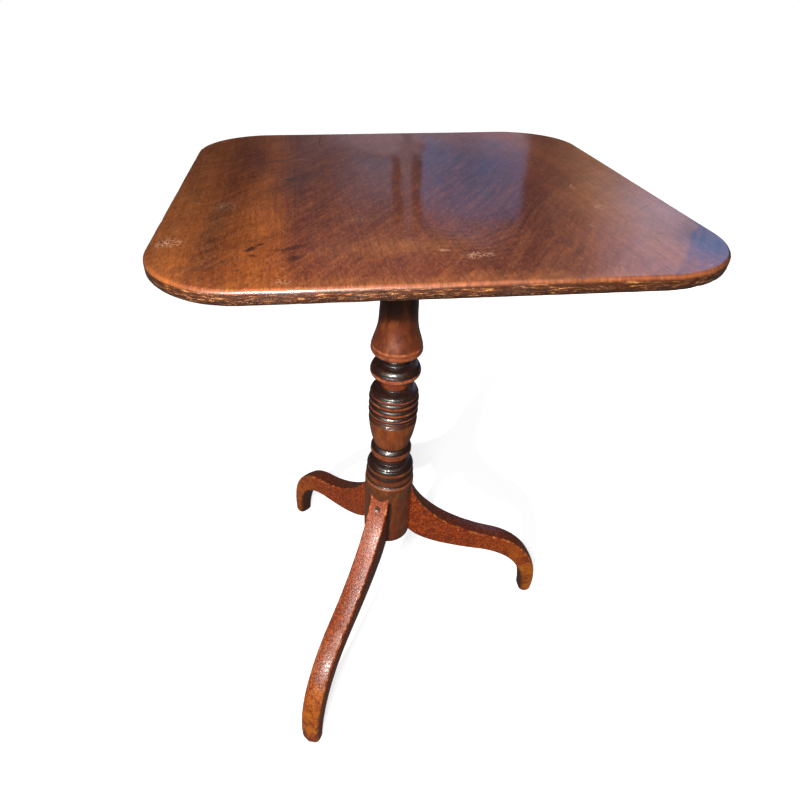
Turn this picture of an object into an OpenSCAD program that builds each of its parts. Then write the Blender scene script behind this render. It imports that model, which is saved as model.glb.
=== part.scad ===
// Tilt top tripod table: a square top with round corners tips on a block at the head of a
// turned pillar, which stands on three swept legs. Sizes are in millimetres, +Z is up, and the
// feet stand on Z = 0.

/* [Top] */
// Height of the table, floor to top surface
table_h = 725; // [700:1:740]
// Width of the top, along X and across its grain
top_w = 455; // [430:1:480]
// Depth of the top, along Y and along its grain
top_d = 450; // [430:1:480]
// Thickness of the board
top_t = 13; // [12:0.5:16]
// Plan radius of the top's corners
corner_r = 79; // [60:1:100]
// Rounding of the upper edge of the board
upper_round = 4; // [2:0.5:5]
// Rounding of the lower edge of the board
lower_round = 5; // [2:0.5:6]
// Distance that the board sits to the right of the pillar's axis
top_shift = 4; // [0:0.5:6]

/* [Tilt block and bearers] */
// Width of the block between the bearers
block_w = 120; // [110:1:140]
// Distance from the pillar's axis to the block's front face
block_front = 62; // [56:1:70]
// Thickness of the block
block_t = 30; // [28:1:34]
// Distance of the pivot behind the pillar's axis
pivot_y = 52; // [48:1:56]
// Radius of the pintles turned on the block's ends
pintle_r = 7; // [6:0.5:8]
// Length of a bearer
bearer_l = 380; // [340:5:400]
// Width of a bearer
bearer_w = 26; // [24:1:30]
// Depth of a bearer in the middle
bearer_deep = 26; // [25:0.5:28]
// Depth of a bearer at its ends
bearer_tip = 10; // [8:0.5:12]

/* [Pillar] */
// Radius of the cylindrical base that takes the legs
base_r = 35.6; // [34:0.1:37]
// Height of the underside of the base
base_z = 205; // [200:1:210]
// Largest radius of the bell below the top
bell_r = 32.3; // [31:0.1:33]
// Radius of the two short necks round the ring
neck_r = 18.2; // [17:0.1:19]
// Largest radius of the reeded drum
drum_r = 33.2; // [32:0.1:34]
// Radius of the round tenon through the block
tenon_r = 15; // [13:0.5:16]

/* [Legs] */
// Reach of a foot from the pillar's axis
foot_reach = 278; // [270:1:285]
// Thickness of a leg
leg_t = 28; // [26:0.5:30]
// Radial width of the foot just above the floor
foot_w = 23; // [20:1:26]
// Rounding of the foot's worn lower corners
foot_round = 8; // [6:0.5:9]
// Direction of the back leg, a little off the even third
back_angle = 122.5; // [120:0.5:124]

/* [Catch] */
// Travel of the spring bolt
bolt_travel = 7.5; // [7:0.5:8]
// Width of the bolt
bolt_w = 12; // [10:0.5:13]
// Height of the bolt
bolt_h = 8; // [7:0.5:9]
// Radius of the bolt's tail rod
rod_r = 2.2; // [2:0.1:2.5]

/* [Hidden] */
$fn = 64;

leg_angles = [-120, 0, back_angle];
// The block, bearers and catch are drawn with the pivot towards +Y and then turned by this, so
// that the bearers cross the grain of the top and the pivot is on its right
top_turn = -90;
// How far the foot of a leg in direction a reaches along Y
function foot_y(a) = foot_reach * abs(sin(a)) + leg_t / 2 * abs(cos(a));
// The origin is below the middle of the whole outline: the right foot reaches past the top, so
// the pillar stands a little to the left of the origin.
pillar_x = (top_w / 2 - top_shift - foot_reach) / 2;
pillar_y = (foot_y(leg_angles[0]) - foot_y(leg_angles[2])) / 2;
under_z = table_h - top_t;
block_z = under_z - block_t;
pivot_z = under_z - top_t;
// Clearances: a running fit in a bore, and a free gap between flat faces
running = 0.05;
gap = 0.3;

// A point t of the way along the cubic curve p
function curve_at(p, t) = pow(1 - t, 3) * p[0] + 3 * t * pow(1 - t, 2) * p[1]
    + 3 * t * t * (1 - t) * p[2] + pow(t, 3) * p[3];
// Points along the cubic curve p
function curve(p, steps) = [for (i = [0:steps]) curve_at(p, i / steps)];
// Points along an arc from angle a to angle b
function arc(centre, r, a, b, steps) = [for (i = [0:steps])
    centre + r * [cos(a + (b - a) * i / steps), sin(a + (b - a) * i / steps)]];
// Points from a to b on a turned profile, swelling outwards by s in the middle
function bow(a, b, s, steps = 8) = [for (i = [0:steps])
    a + (b - a) * i / steps + [4 * s * (i / steps) * (1 - i / steps), 0]];
// A list turned end for end
function reversed(list) = [for (i = [len(list) - 1:-1:0]) list[i]];

// Board edge, as half of its section: x is measured from the middle of the board
function board_edge(half) = concat(
    arc([half - lower_round, under_z + lower_round], lower_round, -90, 0, 5),
    arc([half - upper_round, table_h - upper_round], upper_round, 0, 90, 5));
function board_section(half) = concat(
    board_edge(half), reversed([for (p = board_edge(half)) [-p[0], p[1]]]));

// The pillar's turned outline in [radius, height], from the base upwards
neck_low = 22.4;
base_top = 321.5;
base_turning = concat([[0, base_z], [base_r, base_z], [base_r, 304.6], [base_r - 0.7, 305.2],
    [base_r, 305.8], [base_r, base_top], [base_r - 2, base_top + 1]],
    bow([32.6, 323.3], [32.6, 339.4], 1.7),
    bow([32, 340.6], [31.3, 351.4], 1.5),
    bow([30.6, 352], [26, 356.6], 1.3),
    bow([neck_low, 357.2], [neck_low, 365.6], -0.4));
collar_turning = concat(bow([neck_low + 1, 366.4], [28.5, 374.5], 1.6),
    bow([28.3, 376], [24.6, 385.4], 1.5),
    bow([24.2, 386.4], [drum_r - 0.6, 431.8], 1.3, 12));
// Two thin reeds, then three thick ones, then a thin one, each from one groove to the next
groove_zs = [431.8, 435.6, 440.2, 448.2, 459.2, 470.2, 475.6];
groove = 0.4;
reed_swell = [0.7, 0.7, 1.7, 1.7, 1.7, 0.7];
drum_turning = concat([for (i = [0:len(reed_swell) - 1])
    each bow([drum_r - 1.6 - 0.1 * i, groove_zs[i] + groove],
        [drum_r - 1.6 - 0.15 * i, groove_zs[i + 1] - groove / 2], reed_swell[i], 6)],
    bow([30.2, 476.2], [24, 480.6], 1.6),
    bow([neck_r, 481.6], [neck_r, 500], -0.3));
ring_turning = concat(bow([neck_r + 1, 500.6], [30.4, 501.8], 0.6, 4),
    bow([31.2, 502.6], [31.4, 510.4], 0.9),
    bow([30.8, 511.2], [28.4, 515.9], 0.5, 4),
    bow([27.8, 516.5], [neck_r + 0.6, 518.8], 1.8),
    bow([neck_r, 519.6], [neck_r, 524.6], -0.2, 4),
    bow([neck_r + 0.4, 525], [neck_r + 0.4, 527], 1.2, 4));
bell_turning = concat(bow([neck_r + 1.2, 527.4], [29.5, 533.4], 0.8),
    bow([30.8, 534.4], [31.7, 541.2], 1, 6),
    curve([[bell_r - 0.5, 542.8], [29, 556], [24.3, 562], [23.4, 578]], 12));
head_turning = concat(curve([[23.2, 582], [22.3, 600], [21.6, 620], [21.6, 650]], 6),
    bow([21.8, 658], [21.8, 664], 2.2, 6),
    curve([[22, 666], [23, 672], [29.5, 672], [30, block_z - 4]], 6),
    [[30, block_z], [tenon_r, block_z], [tenon_r, under_z - 0.6], [0, under_z - 0.6]]);

// The leg's outline in [distance from the pillar's axis, height]
back_high = [[33, 304], [47, 244], [116, 195.5], [178, 173]];
back_low = [[178, 173], [230, 154], [foot_reach + 3, 98], [foot_reach, foot_round]];
belly_high = [[33, 208], [46, 186], [78, 165], [160, 141.5]];
belly_low = [[160, 141.5], [205, 126], [foot_reach - 28, 95],
    [foot_reach - foot_w, foot_round]];
leg_outline = concat(curve(back_high, 14), curve(back_low, 18),
    arc([foot_reach - foot_round, foot_round], foot_round, -15, -90, 4),
    arc([foot_reach - foot_w + foot_round, foot_round], foot_round, -90, -165, 4),
    reversed(curve(belly_low, 16)), reversed(curve(belly_high, 12)));
dovetail_z = 284;
// Free space above and below a dovetail in its slot
dovetail_room = 2;
// The dovetail's plan in [distance from the axis, half thickness]
dovetail_plan = [[22, -9.5], [22, 9.5], [base_r + 1, 6], [base_r + 1, -6]];

// Iron brace a little below the base: its arms follow the undersides of the legs
brace_gap = 0.1;
brace_t = 2.4;
brace_w = 16;
brace_hub_r = 24;
brace_from = 0.09;
brace_to = 0.7;
function belly(t) = curve_at(belly_high, t);
function belly_step(t) = belly(t + 0.01) - belly(t - 0.01);
function belly_way(t) = belly_step(t) / norm(belly_step(t));
function below_belly(t, d) = belly(t) + d * [belly_way(t)[1], -belly_way(t)[0]];
brace_line = [for (i = [0:10]) brace_from + (brace_to - brace_from) * i / 10];
brace_z = base_z - brace_gap - brace_t;
brace_arm = concat([[brace_hub_r - 4, base_z - brace_gap]],
    [for (t = brace_line) below_belly(t, brace_gap)],
    reversed([for (t = brace_line) below_belly(t, brace_gap + brace_t)]),
    [[brace_hub_r + 6, brace_z], [brace_hub_r - 4, brace_z]]);
arm_nails = [0.36, 0.6];
hub_nail_r = 15;
nail_r = 1.5;
nail_l = 13;
nail_head_r = 3.4;
nail_dome_r = 4.2;
// Screw that pins the front leg's dovetail from above: its place along back_high, its direction,
// and how far its head is sunk
leg_screw_t = 0.12;
leg_screw_tilt = -115;
leg_screw_sunk = 0.8;
leg_screw_r = 1.6;
leg_screw_head_r = 3;
leg_screw_l = 17;

// Screws that hold the bearers: a deep counterbore in the middle and shallow ones near the ends
bearer_x = block_w / 2 + 0.4;
screw_ys = [-168, -20, 168];
screw_head_zs = [under_z - 9.5, under_z - 12, under_z - 9.5];
screw_r = 2.1;
screw_head_r = 4.4;
screw_l = 20;
// Flat middle of a bearer's lower edge, and the worn nose at its tips
bearer_flat = 92;
bearer_nose = 6;
// Front half of the bearer's outline in [y, z], from the top of its tip to its flat
bearer_half = [[-bearer_l / 2, under_z], [-bearer_l / 2, under_z - bearer_tip],
    [bearer_nose - bearer_l / 2, under_z - bearer_tip - 1.5],
    [-bearer_flat - 8, under_z - bearer_deep + 1], [-bearer_flat, under_z - bearer_deep]];
bearer_outline = concat(bearer_half, reversed([for (p = bearer_half) [-p[0], p[1]]]));
// Distance of a wedge's middle from the pillar's axis, its length and half thicknesses
wedge_y = 6;
wedge_l = 26;
wedge_thick = 1.4;
wedge_thin = 0.4;
wedge_deep = 22;
wedge_below = 0.6;

// The catch on the underside of the top, in front of the block
plate_t = 1.5;
plate_w = 44;
plate_l = 40;
plate_y = -block_front - 2.5;
catch_hole_in = 5;
case_w = bolt_w + 4;
case_l = 32;
case_h = 15.4;
case_wall = 1.6;
case_back_y = plate_y - 1.5 - case_l;
bolt_z = under_z - 10.5;
bolt_tip_y = -block_front + bolt_travel - 0.5;
bolt_back_y = bolt_tip_y - 25;
bolt_bevel = 5;
knob_l = 11.8;
knob_ball_r = 4.6;
knob_bore = 8.2;
spring_coils = 6;
spring_r = 3.1;
wire_r = 0.5;
catch_screw_r = 1.3;
catch_screw_head_r = 2.6;
catch_screw_l = 8.5;
strike_w = 36;
strike_h = 17;
strike_t = 1.5;
strike_hole_x = 13;
strike_screw_l = 10.5;
strike_pocket = 10;

// Puts a node built round the pillar's axis in the table's frame
module in_frame() {
    translate([pillar_x, pillar_y, 0]) children();
}

// Puts a node of the block, bearers or catch in the table's frame
module in_top_frame() {
    in_frame() rotate(top_turn) children();
}

// A countersunk screw pointing along +Z with the face of its head at Z = 0
module screw(shank, head, length, ease = 0) {
    cylinder(r1 = head + ease, r2 = shank + ease, h = head - shank);
    cylinder(r = shank + ease, h = length);
}

// The same screw with a slot cut across its head
module slotted_screw(shank, head, length) {
    difference() {
        screw(shank, head, length);
        translate([-head - 1, -head * 0.11, -1])
            cube([2 * head + 2, head * 0.22, 1 + head * 0.22]);
    }
}

// A domed nail pointing along +Z, with the underside of its head at Z = 0
module nail(length) {
    cylinder(r = nail_r, h = length);
    intersection() {
        translate([0, 0, sqrt(nail_dome_r * nail_dome_r - nail_head_r * nail_head_r)])
            sphere(r = nail_dome_r);
        translate([0, 0, -nail_dome_r]) cylinder(r = nail_head_r, h = nail_dome_r);
    }
}

// The hole for such a nail in the brace, with a flat seat for its head
module nail_hole() {
    translate([0, 0, -1]) cylinder(r = nail_r + running, h = 8);
    translate([0, 0, -3]) cylinder(r = nail_head_r + 0.3, h = 3);
}

module bearer_screw_places(side) {
    for (i = [0:len(screw_ys) - 1])
        translate([side * (bearer_x + bearer_w / 2), screw_ys[i], screw_head_zs[i]]) children();
}

module catch_screw_places() {
    for (x = [-1, 1], y = [-catch_hole_in, catch_hole_in - plate_l])
        translate([x * (plate_w / 2 - catch_hole_in), plate_y + y, under_z - plate_t])
            children();
}

module strike_screw_places() {
    for (x = [-1, 1])
        translate([x * strike_hole_x, -block_front, bolt_z]) rotate([-90, 0, 0]) children();
}

module hub_nail_places() {
    for (a = leg_angles)
        rotate(a + 60) translate([hub_nail_r, 0, brace_z]) children();
}

module arm_nail_places() {
    for (t = arm_nails)
        translate([below_belly(t, brace_gap + brace_t)[0], 0,
            below_belly(t, brace_gap + brace_t)[1]])
            rotate([0, 90 - atan2(belly_way(t)[0], -belly_way(t)[1]), 0]) children();
}

module leg_nail_place() {
    at = curve_at(back_high, leg_screw_t);
    translate([at[0], 0, at[1]]) rotate([0, leg_screw_tilt, 0])
        translate([0, 0, leg_screw_sunk]) children();
}

module leg_screw_hole() {
    leg_nail_place() {
        screw(leg_screw_r, leg_screw_head_r, leg_screw_l + 1, running);
        translate([0, 0, -3]) cylinder(r = leg_screw_head_r + running, h = 3.01);
    }
}

// The board without its screw holes: a middle, four side strips and four quarter-round corners
module board() {
    mid_w = top_w - 2 * corner_r;
    mid_d = top_d - 2 * corner_r;
    union() {
        rotate([90, 0, 0]) translate([0, 0, -mid_d / 2])
            linear_extrude(mid_d) polygon(board_section(top_w / 2));
        for (turn = [0, 180]) rotate(turn) translate([0, mid_d / 2, 0])
            rotate([90, 0, 90]) translate([0, 0, -mid_w / 2]) linear_extrude(mid_w)
                polygon(concat([[0, under_z]], board_edge(corner_r), [[0, table_h]]));
        for (x = [0, 1], y = [0, 1])
            translate([(x - 0.5) * mid_w, (y - 0.5) * mid_d, 0])
                rotate(x == 1 ? (y == 1 ? 0 : -90) : (y == 1 ? 90 : 180))
                    rotate_extrude(angle = 90, $fn = 96)
                        polygon(concat([[0, under_z]], board_edge(corner_r), [[0, table_h]]));
    }
}

module table_top() {
    color("#7a3b1e") in_frame() difference() {
        translate([top_shift, 0, 0]) board();
        for (side = [-1, 1]) rotate(top_turn)
            bearer_screw_places(side) screw(screw_r, screw_head_r, screw_l, running);
        rotate(top_turn) catch_screw_places()
            screw(catch_screw_r, catch_screw_head_r, catch_screw_l + 0.5, running);
    }
}

module bearer(side) {
    difference() {
        translate([side > 0 ? bearer_x : -bearer_x - bearer_w, 0, 0]) rotate([90, 0, 90])
            linear_extrude(bearer_w) polygon(bearer_outline);
        translate([side * (bearer_x - 1), pivot_y, pivot_z]) rotate([0, side * 90, 0])
            cylinder(r = pintle_r + running, h = bearer_w + 2);
        bearer_screw_places(side) {
            screw(screw_r, screw_head_r, screw_l, running);
            translate([0, 0, -30]) cylinder(r = screw_head_r + running, h = 30.01);
        }
    }
}

module bearer_back() {
    color("#5d2c17") in_top_frame() bearer(-1);
}

module bearer_front() {
    color("#5d2c17") in_top_frame() bearer(1);
}

module bearer_screws_back() {
    color("#4a4642") in_top_frame() bearer_screw_places(-1)
        slotted_screw(screw_r, screw_head_r, screw_l);
}

module bearer_screws_front() {
    color("#4a4642") in_top_frame() bearer_screw_places(1)
        slotted_screw(screw_r, screw_head_r, screw_l);
}

module tilt_block() {
    nose_r = top_t - gap;
    color("#5d2c17") in_top_frame() difference() {
        union() {
            translate([-block_w / 2, -block_front, block_z])
                cube([block_w, block_front + pivot_y, block_t]);
            translate([-block_w / 2, pivot_y - 1, block_z])
                cube([block_w, nose_r + 1, pivot_z - block_z]);
            translate([-block_w / 2, pivot_y, pivot_z]) rotate([0, 90, 0])
                cylinder(r = nose_r, h = block_w);
            translate([-bearer_x - bearer_w, pivot_y, pivot_z]) rotate([0, 90, 0])
                cylinder(r = pintle_r, h = 2 * (bearer_x + bearer_w));
        }
        translate([0, 0, block_z - 1]) cylinder(r = tenon_r + running, h = block_t + 2);
        translate([-strike_w / 2, -block_front - 1, bolt_z - strike_h / 2])
            cube([strike_w, 1 + strike_t, strike_h]);
        translate([-bolt_w / 2 - 1, -block_front, bolt_z - bolt_h / 2 - 1])
            cube([bolt_w + 2, strike_pocket, bolt_h + 2]);
        strike_screw_places()
            screw(catch_screw_r, catch_screw_head_r, strike_screw_l + 0.5, running);
    }
}

// One wedge across the tenon, with its thin end down
module wedge(length, ease = 0) {
    rotate([90, 0, 90]) translate([0, 0, -length / 2]) linear_extrude(length)
        polygon([[-wedge_thick - ease, under_z - wedge_below + ease],
            [wedge_thick + ease, under_z - wedge_below + ease],
            [wedge_thin + ease, under_z - wedge_deep],
            [-wedge_thin - ease, under_z - wedge_deep]]);
}

module tenon_wedges() {
    color("#8a5a33") in_top_frame() for (y = [-wedge_y, wedge_y])
        translate([0, y, 0]) wedge(wedge_l);
}

module dovetail(ease = 0) {
    translate([0, 0, base_z - (ease > 0 ? dovetail_room : 0)])
        linear_extrude(dovetail_z - base_z + (ease > 0 ? dovetail_room + ease : 0))
        polygon([for (p = dovetail_plan) [p[0], p[1] + (p[1] > 0 ? ease : -ease)]
            - [p[0] < base_r ? ease : 0, 0]]);
}

module pillar() {
    color("#6b2f18") in_frame() difference() {
        rotate_extrude($fn = 96) polygon(concat(base_turning, collar_turning, drum_turning,
            ring_turning, bell_turning, head_turning));
        for (y = [-wedge_y, wedge_y])
            rotate(top_turn) translate([0, y, 0]) wedge(3 * tenon_r, running);
        for (a = leg_angles) rotate(a) dovetail(2 * running);
        hub_nail_places() cylinder(r = nail_r + running, h = nail_l + 0.5);
    }
}

module leg() {
    difference() {
        rotate([90, 0, 0]) translate([0, 0, -leg_t / 2]) linear_extrude(leg_t) polygon(leg_outline);
        translate([0, 0, base_z - 40]) cylinder(r = base_r + 2 * running, h = 140, $fn = 96);
        arm_nail_places() cylinder(r = nail_r + running, h = nail_l + 0.5);
        leg_screw_hole();
    }
}

// A leg with the dovetail that slides up into the pillar's base
module dovetailed_leg() {
    union() {
        leg();
        difference() {
            dovetail();
            leg_screw_hole();
        }
    }
}

module leg_front() {
    color("#8c3f20") in_frame() rotate(leg_angles[0]) dovetailed_leg();
}

module leg_right() {
    color("#8c3f20") in_frame() rotate(leg_angles[1]) dovetailed_leg();
}

module leg_back() {
    color("#8c3f20") in_frame() rotate(leg_angles[2]) dovetailed_leg();
}

module leg_nail() {
    color("#33302c") in_frame() rotate(leg_angles[0]) leg_nail_place()
        screw(leg_screw_r, leg_screw_head_r, leg_screw_l);
}

module brace_plate() {
    color("#3a3836") in_frame() difference() {
        union() {
            translate([0, 0, brace_z]) cylinder(r = brace_hub_r, h = brace_t);
            for (a = leg_angles) rotate(a) rotate([90, 0, 0]) translate([0, 0, -brace_w / 2])
                linear_extrude(brace_w) polygon(brace_arm);
        }
        hub_nail_places() nail_hole();
        for (a = leg_angles) rotate(a) arm_nail_places() nail_hole();
    }
}

module brace_nails() {
    color("#4a4642") in_frame() {
        hub_nail_places() nail(nail_l);
        for (a = leg_angles) rotate(a) arm_nail_places() nail(nail_l);
    }
}

module catch_plate() {
    color("#b08d4a") in_top_frame() difference() {
        translate([-plate_w / 2, plate_y - plate_l, under_z - plate_t])
            cube([plate_w, plate_l, plate_t]);
        catch_screw_places() screw(catch_screw_r, catch_screw_head_r, catch_screw_l, running);
    }
}

module catch_case() {
    color("#b08d4a") in_top_frame() difference() {
        translate([-case_w / 2, case_back_y, under_z - plate_t - case_h])
            cube([case_w, case_l, case_h]);
        translate([-bolt_w / 2 - gap, case_back_y + case_wall, bolt_z - bolt_h / 2 - gap])
            cube([bolt_w + 2 * gap, case_l, bolt_h + 2 * gap]);
        translate([0, case_back_y - 1, bolt_z]) rotate([-90, 0, 0])
            cylinder(r = rod_r + running, h = case_wall + 2);
    }
}

module catch_bolt() {
    low = bolt_z - bolt_h / 2;
    color("#c7a45c") in_top_frame() {
        rotate([90, 0, 90]) translate([0, 0, -bolt_w / 2]) linear_extrude(bolt_w)
            polygon([[bolt_back_y, low], [bolt_tip_y - bolt_bevel, low],
                [bolt_tip_y, low + bolt_bevel], [bolt_tip_y, low + bolt_h],
                [bolt_back_y, low + bolt_h]]);
        translate([0, bolt_back_y + 1, bolt_z]) rotate([90, 0, 0])
            cylinder(r = rod_r, h = bolt_back_y + 1 - case_back_y + gap + knob_bore - 0.1);
    }
}

module catch_knob() {
    color("#c7a45c") in_top_frame() translate([0, case_back_y - gap, bolt_z]) rotate([90, 0, 0])
        rotate_extrude() polygon(concat([[rod_r + running, 0], [3.4, 0], [3.2, 3]],
            arc([2.2, knob_l - knob_ball_r], knob_ball_r, -60, 80, 10),
            [[0, knob_l], [0, knob_bore], [rod_r + running, knob_bore]]));
}

module catch_spring() {
    from = case_back_y + case_wall + wire_r + 0.1;
    pitch = (bolt_back_y - wire_r - 0.1 - from) / (spring_coils - 1);
    color("#9a9a98") in_top_frame() for (i = [0:spring_coils - 1])
        translate([0, from + i * pitch, bolt_z]) rotate([90, 0, 0]) rotate_extrude()
            translate([spring_r, 0]) circle(r = wire_r, $fn = 16);
}

module catch_screws() {
    color("#b08d4a") in_top_frame() catch_screw_places()
        slotted_screw(catch_screw_r, catch_screw_head_r, catch_screw_l);
}

module strike_plate() {
    color("#b08d4a") in_top_frame() difference() {
        translate([-strike_w / 2, -block_front, bolt_z - strike_h / 2])
            cube([strike_w, strike_t, strike_h]);
        translate([-bolt_w / 2 - gap, -block_front - 1, bolt_z - bolt_h / 2 - gap])
            cube([bolt_w + 2 * gap, strike_t + 2, bolt_h + 2 * gap]);
        strike_screw_places()
            screw(catch_screw_r, catch_screw_head_r, strike_screw_l, running);
    }
}

module strike_screws() {
    color("#b08d4a") in_top_frame() strike_screw_places()
        slotted_screw(catch_screw_r, catch_screw_head_r, strike_screw_l);
}

table_top();
bearer_back();
bearer_front();
bearer_screws_back();
bearer_screws_front();
tilt_block();
tenon_wedges();
pillar();
leg_front();
leg_right();
leg_back();
leg_nail();
brace_plate();
brace_nails();
catch_plate();
catch_case();
catch_bolt();
catch_knob();
catch_spring();
catch_screws();
strike_plate();
strike_screws();
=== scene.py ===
import math
import random
import bpy
from mathutils import Matrix, Vector, noise


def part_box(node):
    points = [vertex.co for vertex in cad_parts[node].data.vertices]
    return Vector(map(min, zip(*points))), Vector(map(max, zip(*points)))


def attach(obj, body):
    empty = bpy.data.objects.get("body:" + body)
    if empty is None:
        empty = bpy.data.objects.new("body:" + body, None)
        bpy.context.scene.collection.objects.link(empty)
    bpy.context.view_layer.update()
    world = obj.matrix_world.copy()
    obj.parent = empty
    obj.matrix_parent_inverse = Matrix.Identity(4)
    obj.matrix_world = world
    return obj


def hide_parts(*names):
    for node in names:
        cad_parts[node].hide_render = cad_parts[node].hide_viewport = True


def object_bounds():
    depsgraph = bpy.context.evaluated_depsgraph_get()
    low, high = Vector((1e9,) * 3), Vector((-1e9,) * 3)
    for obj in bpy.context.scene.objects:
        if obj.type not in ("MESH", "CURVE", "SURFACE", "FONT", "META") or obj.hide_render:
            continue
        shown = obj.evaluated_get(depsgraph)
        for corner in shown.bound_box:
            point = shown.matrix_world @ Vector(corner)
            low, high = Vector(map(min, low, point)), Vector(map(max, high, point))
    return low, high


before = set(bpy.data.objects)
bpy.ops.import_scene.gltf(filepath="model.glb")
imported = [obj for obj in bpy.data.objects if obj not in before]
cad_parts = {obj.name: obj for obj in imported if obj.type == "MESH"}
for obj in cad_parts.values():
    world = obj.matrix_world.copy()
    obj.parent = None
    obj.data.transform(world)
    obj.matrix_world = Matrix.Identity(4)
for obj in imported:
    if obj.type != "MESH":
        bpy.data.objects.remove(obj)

MM = 0.001
cad_low, cad_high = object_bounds()
top_low, top_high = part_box("table_top")
pillar_low, pillar_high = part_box("pillar")
top_middle = (top_low + top_high) / 2
pillar_axis = Vector(((pillar_low.x + pillar_high.x) / 2, (pillar_low.y + pillar_high.y) / 2, 0))
table_h = cad_high.z


# ---------------------------------------------------------------- camera, light and floor

def make_camera():
    """A close view from above the front edge, turned a little to the right."""
    data = bpy.data.cameras.new("camera")
    camera = bpy.data.objects.new("camera", data)
    bpy.context.scene.collection.objects.link(camera)
    bpy.context.scene.camera = camera
    data.sensor_width = 36
    data.lens = 24.232
    data.shift_x = 0.0535
    data.shift_y = 0.0351
    yaw, pitch, roll = math.radians(-4.876), math.radians(40.193), math.radians(-0.237)
    level = math.cos(pitch)
    forward = Vector((-math.sin(yaw) * level, math.cos(yaw) * level, -math.sin(pitch)))
    right = Vector((math.cos(yaw), math.sin(yaw), 0))
    turned = Matrix.Rotation(roll, 3, forward)
    right = turned @ right
    up = right.cross(forward)
    camera.location = pillar_axis + table_h * Vector((-0.13165, -0.76922, 1.2199))
    camera.rotation_euler = Matrix((right, up, -forward)).transposed().to_euler()


def make_light(name, kind, energy, place, aim, colour=(1, 1, 1), **settings):
    data = bpy.data.lights.new(name, kind)
    data.energy = energy
    data.color = colour
    for key, value in settings.items():
        setattr(data, key, value)
    light = bpy.data.objects.new(name, data)
    bpy.context.scene.collection.objects.link(light)
    light.location = place
    light.rotation_euler = (Vector(aim) - Vector(place)).to_track_quat("-Z", "Y").to_euler()
    return light


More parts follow.
